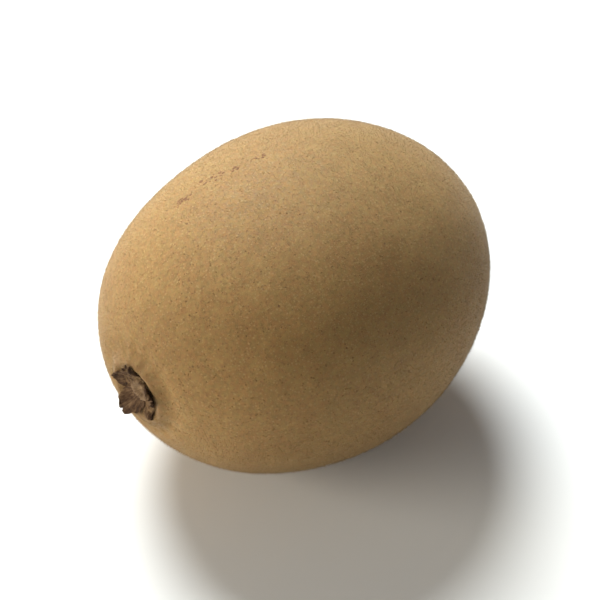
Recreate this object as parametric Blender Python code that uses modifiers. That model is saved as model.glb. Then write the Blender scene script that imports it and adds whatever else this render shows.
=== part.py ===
"""Golden kiwi fruit, whole and uncut, lying on its side on its own small flat spot.

The fruit grew as one piece, so it is one solid: the body with its blunt stem end, the ring round the
stalk scar, the five dried sepals that lie over that ring, and the dried styles on the low boss at the
other end. Everything is modelled upright, with the stem end up, and laid down at the end: the stem end
then points to -X, the style end to +X, and the origin is the middle of the flat spot, with +Z up.
"""

import math
import random

import bmesh
import bpy
from mathutils import Matrix, Vector

MM = 0.001
FULL_TURN = 2 * math.pi
NODE_NAME = "golden_kiwi_fruit"

# Size of the body. Thickness is measured before the flat spot takes FLAT_DEPTH off it.
BODY_LENGTH = 69.0 * MM
BODY_WIDTH = 57.0 * MM
BODY_THICKNESS = 52.7 * MM

# How the fruit lies: its axis tips up a little towards the style end, and FOOT_ALONG and FOOT_SIDE say
# where the flat spot's middle is, from the middle of the body.
FLAT_DEPTH = 0.5 * MM
LYING_TILT = math.radians(0.6)
FOOT_ALONG = -1.2 * MM
FOOT_SIDE = -0.38 * MM

# Outline along the fruit: 1 would be an ellipse, and less is fuller. The stem end is the blunter one.
FULLNESS_MEAN = 0.935
FULLNESS_STEM = 0.035
EGG = 0.03

# Stem end: a shallow basin round the scar, then a raised ring, then a faint groove outside it.
BASIN_DEPTH = 1.3 * MM
BASIN_RADIUS = 4.3 * MM
RING_HEIGHT = 0.75 * MM
RING_RADIUS = 5.5 * MM
RING_SPREAD = 1.1 * MM
GROOVE_DEPTH = 0.3 * MM
GROOVE_RADIUS = 8.1 * MM
GROOVE_SPREAD = 1.2 * MM

# Style end: a low boss with a dip in its middle.
BOSS_HEIGHT = 1.25 * MM
BOSS_RADIUS = 5.6 * MM
BOSS_SPREAD = 1.5 * MM
DIP_DEPTH = 0.6 * MM
DIP_RADIUS = 2.4 * MM

# Lobes of the cross-section: (share of the radius, waves round it, phase in degrees).
LOBES = ((0.011, 2, 35.0), (0.009, 3, 160.0), (0.004, 5, 70.0))
LOBE_TWIST = math.radians(14)

# The body bends sideways: its middle moves one way by BEND_MIDDLE of BEND, and its ends the other way.
BEND = 1.1 * MM
BEND_MIDDLE = 0.35

# Broad swellings that wind round the body.
SWELL_HEIGHT = 0.3 * MM
SWELL_ALONG = 3.1
SWELL_WANDER = 1.3
SWELL_ROUND = 2
SWELL_SKEW = 2.2
SWELL_PHASE = 0.6

# Small folds that gather round both ends, in patches, and are weaker at the style end.
FOLD_HEIGHT = 0.13 * MM
FOLD_COUNT = 15
FOLD_RADIUS = 8.0 * MM
FOLD_SPREAD = 2.6 * MM
FOLD_WANDER = 1.9
FOLD_PATCHES = 3
FOLD_PATCHINESS = 0.4
FOLD_AT_STYLE = -0.6

# Stalk scar: a short woody stub with a hollow pith. Its outline is in shares of its radius and rise.
SCAR_RADIUS = 2.1 * MM
SCAR_RISE = 0.9 * MM
SCAR_OUTLINE = ((0, 0.4), (0.31, 0.4), (0.44, 0.9), (0.72, 1), (0.95, 0.7), (1, 0), (0.8, -2.4), (0, -2.4))
SCAR_SIDES = 18
SCAR_LOBES = ((0.06, 3, 0.5), (0.03, 7, 0.0))

# Dried sepals: (direction in degrees, length, widest half width, lift of the tip).
SEPALS = (
    (12, 3.9 * MM, 2.5 * MM, 0.25 * MM),
    (86, 3.5 * MM, 2.4 * MM, -0.35 * MM),
    (157, 4.2 * MM, 2.5 * MM, 0.4 * MM),
    (231, 3.4 * MM, 2.3 * MM, -0.3 * MM),
    (302, 4.0 * MM, 2.5 * MM, 0.3 * MM),
)
SEPAL_START = 1.7 * MM
SEPAL_THICKNESS = 0.65 * MM
SEPAL_ROOT_SINK = 0.8 * MM
SEPAL_STACK = 0.09 * MM
SEPAL_ROOT_BREADTH = 0.66
SEPAL_BELLY = 1.35
SEPAL_TAPER = 0.55
SEPAL_POINT = 0.1
SEPAL_LIFT_POWER = 1.6
SEPAL_EDGE_CURL = 0.35 * MM
SEPAL_CRINKLE = 0.12 * MM
SEPAL_CRINKLE_WAVES = (9.0, 2.5)
SEPAL_ROWS = 6
SEPAL_COLUMNS = 5

# Button that carries the styles. Its outline is in shares of its radius and rise.
BUTTON_RADIUS = 2.3 * MM
BUTTON_RISE = 0.45 * MM
BUTTON_OUTLINE = ((0, 3), (0.8, 3), (1, 0), (0.82, -0.8), (0.4, -1.2), (0, -1.3))
BUTTON_SIDES = 18

# Dried styles: three-sided needles that fan out of the button, leaning more towards its rim.
STYLE_COUNT = 20
STYLE_SIDES = 3
STYLE_LENGTHS = (1.0 * MM, 2.1 * MM)
STYLE_ROOT_RADIUS = 0.45 * MM
STYLE_TIP_RADIUS = 0.22 * MM
STYLE_SINK = 0.9 * MM
STYLE_FIELD = 0.8
STYLE_LEANS = (math.radians(12), math.radians(66))
STYLE_SWAY = math.radians(8)
STYLE_SPIRAL = math.radians(137.5)
STYLE_SEED = 7

# Fineness of the body's mesh. POLE_CROWDING draws its rows towards both ends.
STEPS_ROUND = 72
STEPS_ALONG = 50
POLE_CROWDING = 0.72
MERGE = 0.02 * MM
SEARCH_STEPS = 40
SHARP_ANGLE = math.radians(35)

SKIN_COLOUR = (0.30, 0.17, 0.06, 1.0)
SKIN_ROUGHNESS = 0.75
DRIED_COLOUR = (0.085, 0.045, 0.022, 1.0)
DRIED_ROUGHNESS = 0.9


def clear_scene():
    for old in list(bpy.data.objects):
        bpy.data.objects.remove(old, do_unlink=True)


def material(name, colour, roughness):
    made = bpy.data.materials.new(name)
    made.use_nodes = True
    shader = made.node_tree.nodes["Principled BSDF"]
    shader.inputs["Base Color"].default_value = colour
    shader.inputs["Roughness"].default_value = roughness
    shader.inputs["Metallic"].default_value = 0.0
    return made


def bump(distance, spread):
    """A smooth hump that is 1 at no distance and fades over the spread."""
    return math.exp(-((distance / spread) ** 2))


def plateau(radius, edge, spread):
    """1 inside the edge, 0 outside it, with a smooth slope between."""
    return 0.5 - 0.5 * math.tanh((radius - edge) / spread)


def turned_point(station):
    """(radius, height) of the turned outline. Station 0 is the stem pole and pi is the style pole."""
    power = FULLNESS_MEAN - FULLNESS_STEM * math.cos(station)
    share = math.sin(station) ** power * (1 + EGG * math.cos(station))
    radius = BODY_WIDTH / 2 * share
    height = BODY_LENGTH / 2 * math.cos(station)
    if station < math.pi / 2:
        height += RING_HEIGHT * bump(radius - RING_RADIUS, RING_SPREAD)
        height -= BASIN_DEPTH * bump(radius, BASIN_RADIUS)
        height -= GROOVE_DEPTH * bump(radius - GROOVE_RADIUS, GROOVE_SPREAD)
    else:
        height -= BOSS_HEIGHT * plateau(radius, BOSS_RADIUS, BOSS_SPREAD)
        height += DIP_DEPTH * bump(radius, DIP_RADIUS)
    return radius, height


def stem_skin_height(radius):
    """How high the skin of the stem end is at this radius, found by halving."""
    near, far = 0.0, math.pi / 3
    for _ in range(SEARCH_STEPS):
        middle = (near + far) / 2
        if turned_point(middle)[0] < radius:
            near = middle
        else:
            far = middle
    return turned_point((near + far) / 2)[1]


def swelling(turn, along):
    """How far the broad swellings stand out, as a share of the radius."""
    up_and_down = math.sin(SWELL_ALONG * along + SWELL_WANDER * math.cos(turn))
    round_about = math.cos(SWELL_ROUND * turn + SWELL_SKEW * along + SWELL_PHASE)
    return SWELL_HEIGHT * up_and_down * round_about / (BODY_WIDTH / 2)


def folding(radius, turn, along):
    """How far the small folds round an end shift the skin along the fruit."""
    wave = math.cos(FOLD_COUNT * turn + FOLD_WANDER * math.sin(2 * turn))
    patch = 1 - FOLD_PATCHINESS + FOLD_PATCHINESS * math.cos(FOLD_PATCHES * turn)
    fold = FOLD_HEIGHT * bump(radius - FOLD_RADIUS, FOLD_SPREAD) * wave * patch
    return fold if along > 0 else fold * FOLD_AT_STYLE


def grown(point):
    """Where a point of the turned shape lies once the fruit has grown uneven, bent and flatter."""
    radius = math.hypot(point.x, point.y)
    turn = math.atan2(point.y, point.x)
    along = 2 * point.z / BODY_LENGTH
    spread = 1 + swelling(turn, along)
    for share, waves, phase in LOBES:
        spread += share * math.cos(waves * (turn + LOBE_TWIST * along) - math.radians(phase))
    flat = point.x * spread * BODY_THICKNESS / BODY_WIDTH
    side = point.y * spread + BEND * (along * along - BEND_MIDDLE)
    return Vector((flat, side, point.z + folding(radius, turn, along)))


def object_from(name, shape, collection):
    """A new object with this bmesh as its mesh. The bmesh is freed."""
    mesh = bpy.data.meshes.new(name)
    shape.to_mesh(mesh)
    shape.free()
    made = bpy.data.objects.new(name, mesh)
    collection.objects.link(made)
    return made


def turned(name, outline, steps, collection):
    """A solid turned from an outline of (radius, height) pairs that runs from its top to its bottom."""
    shape = bmesh.new()
    corners = [shape.verts.new((radius, 0, height)) for radius, height in outline]
    for pair in zip(corners, corners[1:]):
        shape.edges.new(pair)
    blank = object_from(name + "_outline", shape, collection)
    screw = blank.modifiers.new("turn", "SCREW")
    screw.axis = "Z"
    screw.steps = screw.render_steps = steps
    screw.use_merge_vertices = True
    screw.merge_threshold = MERGE
    bpy.context.view_layer.update()
    graph = bpy.context.evaluated_depsgraph_get()
    mesh = bpy.data.meshes.new_from_object(blank.evaluated_get(graph))
    bpy.data.objects.remove(blank, do_unlink=True)
    welded = bmesh.new()
    welded.from_mesh(mesh)
    bmesh.ops.remove_doubles(welded, verts=welded.verts, dist=MERGE)
    bmesh.ops.recalc_face_normals(welded, faces=welded.faces)
    bpy.data.meshes.remove(mesh)
    return object_from(name, welded, collection)


def move_points(made, rule):
    for vertex in made.data.vertices:
        vertex.co = rule(vertex.co)
    made.data.update()


def fruit_body(collection):
    """The body, turned from its outline and then grown uneven. Its points crowd towards both ends."""
    outline = []
    for step in range(STEPS_ALONG + 1):
        share = step / STEPS_ALONG
        crowded = share - POLE_CROWDING * math.sin(FULL_TURN * share) / FULL_TURN
        outline.append(turned_point(math.pi * crowded))
    outline[0] = (0.0, outline[0][1])
    outline[-1] = (0.0, outline[-1][1])
    body = turned(NODE_NAME, outline, STEPS_ROUND, collection)
    move_points(body, grown)
    return body


def stalk_scar(collection):
    """The woody stub where the stalk broke off, with its pith sunk in the middle."""
    floor = turned_point(0.0)[1]
    outline = [(SCAR_RADIUS * out, floor + SCAR_RISE * up) for out, up in SCAR_OUTLINE]
    scar = turned("stalk_scar", outline, SCAR_SIDES, collection)

    def uneven(point):
        turn = math.atan2(point.y, point.x)
        wave = 1 + sum(share * math.cos(waves * turn + phase) for share, waves, phase in SCAR_LOBES)
        return grown(Vector((point.x * wave, point.y * wave, point.z)))

    move_points(scar, uneven)
    return scar


def sepal(index, facing, length, half_width, lift, collection):
    """One dried sepal: a thin scale rooted beside the scar, lying over the ring with its tip raised."""
    shape = bmesh.new()
    bmesh.ops.create_grid(shape, x_segments=SEPAL_ROWS, y_segments=SEPAL_COLUMNS, size=0.5)
    for vertex in shape.verts:
        share = vertex.co.x + 0.5
        across = vertex.co.y * 2
        belly = SEPAL_ROOT_BREADTH + SEPAL_BELLY * share * (1 - share)
        sideways = across * half_width * belly * (1 - SEPAL_TAPER * share**3)
        reach = SEPAL_START + length * share * (1 - SEPAL_POINT * across**2)
        radius = math.hypot(reach, sideways)
        crinkle = math.sin(SEPAL_CRINKLE_WAVES[0] * share + SEPAL_CRINKLE_WAVES[1] * across + index)
        rise = SEPAL_STACK * (index * 2 % len(SEPALS)) - SEPAL_ROOT_SINK
        rise += (lift + SEPAL_ROOT_SINK) * share**SEPAL_LIFT_POWER
        rise += SEPAL_EDGE_CURL * across**2 * share + SEPAL_CRINKLE * crinkle
        turn = math.radians(facing) + math.atan2(sideways, reach)
        vertex.co = (radius * math.cos(turn), radius * math.sin(turn), stem_skin_height(radius) + rise)
    sheet = bmesh.ops.extrude_face_region(shape, geom=shape.faces[:])
    upper = [item for item in sheet["geom"] if isinstance(item, bmesh.types.BMVert)]
    bmesh.ops.translate(shape, verts=upper, vec=(0, 0, SEPAL_THICKNESS))
    made = object_from(f"sepal_{index + 1}", shape, collection)
    move_points(made, grown)
    return made


def style_button(collection):
    """The low dark button in the boss's dip that carries the styles."""
    seat = turned_point(math.pi)[1]
    outline = [(BUTTON_RADIUS * out, seat + BUTTON_RISE * up) for out, up in BUTTON_OUTLINE]
    button = turned("style_button", outline, BUTTON_SIDES, collection)
    move_points(button, grown)
    return button


def style(index, draw, collection):
    """One dried style, a short needle that leans outwards. Its places follow a sunflower spiral."""
    share = (index + 0.5) / STYLE_COUNT
    turn = index * STYLE_SPIRAL + draw.uniform(-STYLE_SWAY, STYLE_SWAY)
    reach = BUTTON_RADIUS * STYLE_FIELD * math.sqrt(share)
    lean = STYLE_LEANS[0] + (STYLE_LEANS[1] - STYLE_LEANS[0]) * share + draw.uniform(-STYLE_SWAY, STYLE_SWAY)
    length = draw.uniform(*STYLE_LENGTHS)
    seat = Vector((reach * math.cos(turn), reach * math.sin(turn), turned_point(math.pi)[1]))
    away = Vector((math.sin(lean) * math.cos(turn), math.sin(lean) * math.sin(turn), -math.cos(lean)))
    middle = seat + away * ((length - STYLE_SINK) / 2)
    shape = bmesh.new()
    bmesh.ops.create_cone(
        shape,
        cap_ends=True,
        cap_tris=True,
        segments=STYLE_SIDES,
        radius1=STYLE_ROOT_RADIUS,
        radius2=STYLE_TIP_RADIUS,
        depth=length + STYLE_SINK,
        matrix=Matrix.Translation(middle) @ away.to_track_quat("Z", "Y").to_matrix().to_4x4(),
    )
    made = object_from(f"style_{index + 1:02d}", shape, collection)
    move_points(made, grown)
    return made


def fuse(body, grown_on):
    """Joins everything in the collection to the body as one solid."""
    union = body.modifiers.new("grown together", "BOOLEAN")
    union.operation = "UNION"
    union.solver = "MANIFOLD"
    union.operand_type = "COLLECTION"
    union.collection = grown_on
    union.material_mode = "TRANSFER"
    bpy.context.view_layer.update()
    bpy.context.view_layer.objects.active = body
    bpy.ops.object.modifier_apply(modifier=union.name)
    for part in list(grown_on.objects):
        bpy.data.objects.remove(part, do_unlink=True)
    bpy.data.collections.remove(grown_on)


def lay_down(body):
    """Turns the stem end to -X, brings the foot to the origin and cuts the flat spot level at z = 0."""
    on_side = Matrix.Rotation(-math.pi / 2 + LYING_TILT, 4, "Y")
    onto_foot = Matrix.Translation((-FOOT_ALONG, -FOOT_SIDE, BODY_THICKNESS / 2 - FLAT_DEPTH))
    body.data.transform(onto_foot @ on_side)
    shape = bmesh.new()
    shape.from_mesh(body.data)
    everything = list(shape.verts) + list(shape.edges) + list(shape.faces)
    cut = bmesh.ops.bisect_plane(
        shape, geom=everything, dist=MERGE, plane_co=(0, 0, 0), plane_no=(0, 0, 1), clear_inner=True
    )
    rim = [item for item in cut["geom_cut"] if isinstance(item, bmesh.types.BMEdge)]
    bmesh.ops.edgeloop_fill(shape, edges=rim)
    bmesh.ops.recalc_face_normals(shape, faces=shape.faces)
    shape.to_mesh(body.data)
    shape.free()


def main():
    clear_scene()
    fruit = bpy.data.collections.new("golden_kiwi")
    grown_on = bpy.data.collections.new("grown_on_the_body")
    bpy.context.scene.collection.children.link(fruit)
    bpy.context.scene.collection.children.link(grown_on)

    skin = material("bronze_skin", SKIN_COLOUR, SKIN_ROUGHNESS)
    dried = material("dried_brown", DRIED_COLOUR, DRIED_ROUGHNESS)

    body = fruit_body(fruit)
    body.data.materials.append(skin)
    body.data.materials.append(dried)

    draw = random.Random(STYLE_SEED)
    parts = [stalk_scar(grown_on), style_button(grown_on)]
    parts += [sepal(index, *row, grown_on) for index, row in enumerate(SEPALS)]
    parts += [style(index, draw, grown_on) for index in range(STYLE_COUNT)]
    for part in parts:
        part.data.materials.append(dried)

    fuse(body, grown_on)
    lay_down(body)
    body.data.shade_smooth()
    body.data.set_sharp_from_angle(angle=SHARP_ANGLE)


main()
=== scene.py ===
"""Dresses a whole golden kiwi fruit: skin, stalk scar, calyx, dried styles, down, corky specks and scuffs.

The fruit lies on its side along X, with the stem end at -X and the style end at +X. Every piece is
shaped on an upright fruit with its stem end up, then grown uneven and laid down by the same rules as the
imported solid, so each one sits where the solid carries it.
"""

import bisect
import logging
import math
import random
from collections.abc import Iterable
from dataclasses import dataclass
from enum import Enum

import bmesh
import bpy
from mathutils import Matrix, Vector, noise
from mathutils.bvhtree import BVHTree


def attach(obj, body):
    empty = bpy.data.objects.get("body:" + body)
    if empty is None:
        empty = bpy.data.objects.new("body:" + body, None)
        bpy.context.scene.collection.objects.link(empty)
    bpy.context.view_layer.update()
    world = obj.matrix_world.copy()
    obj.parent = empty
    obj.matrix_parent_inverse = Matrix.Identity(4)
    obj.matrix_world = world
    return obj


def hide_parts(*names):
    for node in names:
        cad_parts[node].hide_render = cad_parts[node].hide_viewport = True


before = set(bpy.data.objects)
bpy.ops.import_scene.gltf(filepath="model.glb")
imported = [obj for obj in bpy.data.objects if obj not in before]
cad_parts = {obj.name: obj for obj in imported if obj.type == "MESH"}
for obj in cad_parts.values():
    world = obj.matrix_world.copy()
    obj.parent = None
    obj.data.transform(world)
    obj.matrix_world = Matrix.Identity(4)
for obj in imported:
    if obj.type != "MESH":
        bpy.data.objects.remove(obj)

MM = 0.001
NODE = "golden_kiwi_fruit"
SAME_POINT = 0.0002 * MM
FULL_TURN = 2 * math.pi
GOLDEN_ANGLE = math.radians(137.5)
# Noise is nought wherever all its coordinates are whole, so slices of it are taken halfway between
HALFWAY = 0.5
DOWN_LAYERS = 3
DOWN_SEED = 101
LOG = logging.getLogger("golden_kiwi")

Triple = tuple[float, float, float]


class Slot(Enum):
    """The record's material slots that a piece may take its finish from."""

    SKIN = "skin"
    DRIED = "dried_calyx"


class End(Enum):
    """The two ends of the fruit."""

    STEM = "stem"
    STYLE = "style"


class Blend(Enum):
    """Ways of laying one colour over another."""

    MIX = "MIX"
    OVERLAY = "OVERLAY"


@dataclass(frozen=True)
class FruitForm:
    """The grown form of the fruit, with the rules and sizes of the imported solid."""

    length: float = 69.0 * MM
    width: float = 57.0 * MM
    thickness: float = 52.7 * MM
    flat_depth: float = 0.5 * MM
    lying_tilt: float = math.radians(0.6)
    foot_along: float = -1.2 * MM
    foot_side: float = -0.38 * MM
    fullness_mean: float = 0.935
    fullness_stem: float = 0.035
    egg: float = 0.03
    basin_depth: float = 1.3 * MM
    basin_radius: float = 4.3 * MM
    ring_height: float = 0.75 * MM
    ring_radius: float = 5.5 * MM
    ring_spread: float = 1.1 * MM
    groove_depth: float = 0.3 * MM
    groove_radius: float = 8.1 * MM
    groove_spread: float = 1.2 * MM
    boss_height: float = 1.25 * MM
    boss_radius: float = 5.6 * MM
    boss_spread: float = 1.5 * MM
    dip_depth: float = 0.6 * MM
    dip_radius: float = 2.4 * MM
    lobes: tuple[tuple[float, int, float], ...] = ((0.011, 2, 35.0), (0.009, 3, 160.0), (0.004, 5, 70.0))
    lobe_twist: float = math.radians(14)
    bend: float = 1.1 * MM
    bend_middle: float = 0.35
    swell_height: float = 0.3 * MM
    swell_along: float = 3.1
    swell_wander: float = 1.3
    swell_round: int = 2
    swell_skew: float = 2.2
    swell_phase: float = 0.6
    fold_height: float = 0.13 * MM
    fold_count: int = 15
    fold_radius: float = 8.0 * MM
    fold_spread: float = 2.6 * MM
    fold_wander: float = 1.9
    fold_wander_waves: int = 2
    fold_patches: int = 3
    fold_patchiness: float = 0.4
    fold_at_style: float = -0.6
    search_steps: int = 40
    search_reach: float = math.pi / 3

    @staticmethod
    def bump(distance: float, spread: float) -> float:
        """Return a smooth hump that is 1 at no distance and fades over the spread."""
        return math.exp(-((distance / spread) ** 2))

    @staticmethod
    def plateau(radius: float, edge: float, spread: float) -> float:
        """Return 1 inside the edge and 0 outside it, with a smooth slope between."""
        return 0.5 - 0.5 * math.tanh((radius - edge) / spread)

    def outline(self, station: float) -> tuple[float, float]:
        """Give a point of the outline.

        Args:
            station: Place along the outline, from 0 at the stem pole to pi at the style pole.

        Returns:
            The radius and the height of the upright fruit there.
        """
        power = self.fullness_mean - self.fullness_stem * math.cos(station)
        share = max(math.sin(station), 0.0) ** power * (1 + self.egg * math.cos(station))
        radius = self.width / 2 * share
        height = self.length / 2 * math.cos(station)
        if station < math.pi / 2:
            height += self.ring_height * self.bump(radius - self.ring_radius, self.ring_spread)
            height -= self.basin_depth * self.bump(radius, self.basin_radius)
            height -= self.groove_depth * self.bump(radius - self.groove_radius, self.groove_spread)
        else:
            height -= self.boss_height * self.plateau(radius, self.boss_radius, self.boss_spread)
            height += self.dip_depth * self.bump(radius, self.dip_radius)
        return radius, height

    def stem_height(self, radius: float) -> float:
        """Find how high the skin of the stem end is, by halving.

        Args:
            radius: Distance from the fruit's axis.

        Returns:
            The height on the upright fruit.
        """
        near, far = 0.0, self.search_reach
        for _ in range(self.search_steps):
            middle = (near + far) / 2
            if self.outline(middle)[0] < radius:
                near = middle
            else:
                far = middle
        return self.outline((near + far) / 2)[1]

    def swelling(self, turn: float, along: float) -> float:
        """Work out the broad swellings at a place.

        Args:
            turn: Direction round the fruit's axis.
            along: Place along the fruit, from -1 at the style end to 1 at the stem end.

        Returns:
            How far they stand out, as a share of the radius.
        """
        up_and_down = math.sin(self.swell_along * along + self.swell_wander * math.cos(turn))
        round_about = math.cos(self.swell_round * turn + self.swell_skew * along + self.swell_phase)
        return self.swell_height * up_and_down * round_about / (self.width / 2)

    def folding(self, radius: float, turn: float, along: float) -> float:
        """Work out how the small folds round an end shift the skin along the fruit.

        Args:
            radius: Distance from the fruit's axis.
            turn: Direction round that axis.
            along: Place along the fruit, from -1 at the style end to 1 at the stem end.

        Returns:
            How far the skin is shifted.
        """
        wave = math.cos(self.fold_count * turn + self.fold_wander * math.sin(self.fold_wander_waves * turn))
        patch = 1 - self.fold_patchiness + self.fold_patchiness * math.cos(self.fold_patches * turn)
        fold = self.fold_height * self.bump(radius - self.fold_radius, self.fold_spread) * wave * patch
        return fold if along > 0 else fold * self.fold_at_style

    def grow(self, point: Vector) -> Vector:
        """Move a point of the turned shape to where it lies once the fruit has grown uneven.

        Args:
            point: A point of the turned shape.

        Returns:
            Where it lies on the grown fruit, still upright.
        """
        radius = math.hypot(point.x, point.y)
        turn = math.atan2(point.y, point.x)
        along = 2 * point.z / self.length
        spread = 1 + self.swelling(turn, along)
        for share, waves, phase in self.lobes:
            spread += share * math.cos(waves * (turn + self.lobe_twist * along) - math.radians(phase))
        flat = point.x * spread * self.thickness / self.width
        side = point.y * spread + self.bend * (along * along - self.bend_middle)
        return Vector((flat, side, point.z + self.folding(radius, turn, along)))

    def laying(self) -> Matrix:
        """Work out the transform that lays the upright fruit down with its foot at the origin.

        Returns:
            The transform.
        """
        on_side = Matrix.Rotation(-math.pi / 2 + self.lying_tilt, 4, "Y")
        height = self.thickness / 2 - self.flat_depth
        return Matrix.Translation((-self.foot_along, -self.foot_side, height)) @ on_side

    def place(self, shape: bmesh.types.BMesh) -> None:
        """Grow and lay down every vertex of a shape made on the upright fruit.

        Args:
            shape: The shape, which is changed.
        """
        laying = self.laying()
        for vertex in shape.verts:
            vertex.co = laying @ self.grow(vertex.co)

    def at(self, station: float, turn: float) -> Vector:
        """Give a place on the skin of the fruit as laid down.

        Args:
            station: Place along the outline, from 0 at the stem pole to pi at the style pole.
            turn: Direction round the fruit's axis.

        Returns:
            The place.
        """
        radius, height = self.outline(station)
        return self.laying() @ self.grow(Vector((radius * math.cos(turn), radius * math.sin(turn), height)))

    def pole(self, end: End) -> Vector:
        """Return where one end's middle lies on the fruit as laid down."""
        return self.at(0.0 if end is End.STEM else math.pi, 0.0)


def spun(outline: list[tuple[float, float]], steps: int) -> bmesh.types.BMesh:
    """Spin an outline round the upright axis.

    Args:
        outline: Pairs of radius and height that start and end on the axis.
        steps: Number of faces round the shape.

    Returns:
        The closed shape, welded, with its faces outward.
    """
    shape = bmesh.new()
    corners = [shape.verts.new((radius, 0, height)) for radius, height in outline]
    edges = [shape.edges.new(pair) for pair in zip(corners, corners[1:])]
    bmesh.ops.spin(
        shape,
        geom=corners + edges,
        axis=(0, 0, 1),
        cent=(0, 0, 0),
        angle=FULL_TURN,
        steps=steps,
        use_merge=True,
    )
    bmesh.ops.remove_doubles(shape, verts=shape.verts, dist=SAME_POINT)
    bmesh.ops.recalc_face_normals(shape, faces=shape.faces)
    return shape


def settled(shape: bmesh.types.BMesh) -> bmesh.types.BMesh:
    """Put a shape's parts in an order that their places alone decide.

    Spin and extrude make the same parts on every run, but not in the same order, and whatever is drawn at
    random from the faces would change with it.

    Args:
        shape: The finished shape.

    Returns:
        The same shape.
    """
    for index, vertex in enumerate(sorted(shape.verts, key=lambda vertex: vertex.co[:])):
        vertex.index = index
    shape.verts.sort()
    for parts in (shape.edges, shape.faces):
        ordered = sorted(parts, key=lambda part: sorted(corner.index for corner in part.verts))
        for index, part in enumerate(ordered):
            part.index = index
        parts.sort()
    return shape


def gathered(shapes: Iterable[bmesh.types.BMesh]) -> bmesh.types.BMesh:
    """Copy several shapes into one and free them.

    Args:
        shapes: The shapes, each of which is freed.

    Returns:
        One shape that holds them all.
    """
    whole = bmesh.new()
    keeper = bpy.data.meshes.new("keeper")
    for shape in shapes:
        shape.to_mesh(keeper)
        shape.free()
        whole.from_mesh(keeper)
    bpy.data.meshes.remove(keeper)
    return whole


def closed_below(shape: bmesh.types.BMesh, roots: list[bmesh.types.BMFace]) -> None:
    """Give each root face a reversed twin, which closes whatever is raised from the root.

    Args:
        shape: The shape, which is changed.
        roots: The faces that will be raised.
    """
    twins = bmesh.ops.duplicate(shape, geom=roots)["geom"]
    bmesh.ops.reverse_faces(shape, faces=[item for item in twins if isinstance(item, bmesh.types.BMFace)])


def make_piece(
    name: str,
    shape: bmesh.types.BMesh,
    finish: bpy.types.Material,
) -> bpy.types.Object:
    """Turn a finished shape into a piece of the model.

    Args:
        name: The piece's name.
        shape: Its faces, in place; the shape is freed.
        finish: The material that it wears.

    Returns:
        The new object, riding on the fruit.
    """
    mesh = bpy.data.meshes.new(name)
    shape.to_mesh(mesh)
    shape.free()
    mesh.materials.append(finish)
    mesh.shade_smooth()
    piece = bpy.data.objects.new(name, mesh)
    bpy.context.scene.collection.objects.link(piece)
    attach(piece, "root")
    LOG.info("%s: %d triangles", name, sum(len(face.vertices) - 2 for face in mesh.polygons))
    return piece


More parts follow.
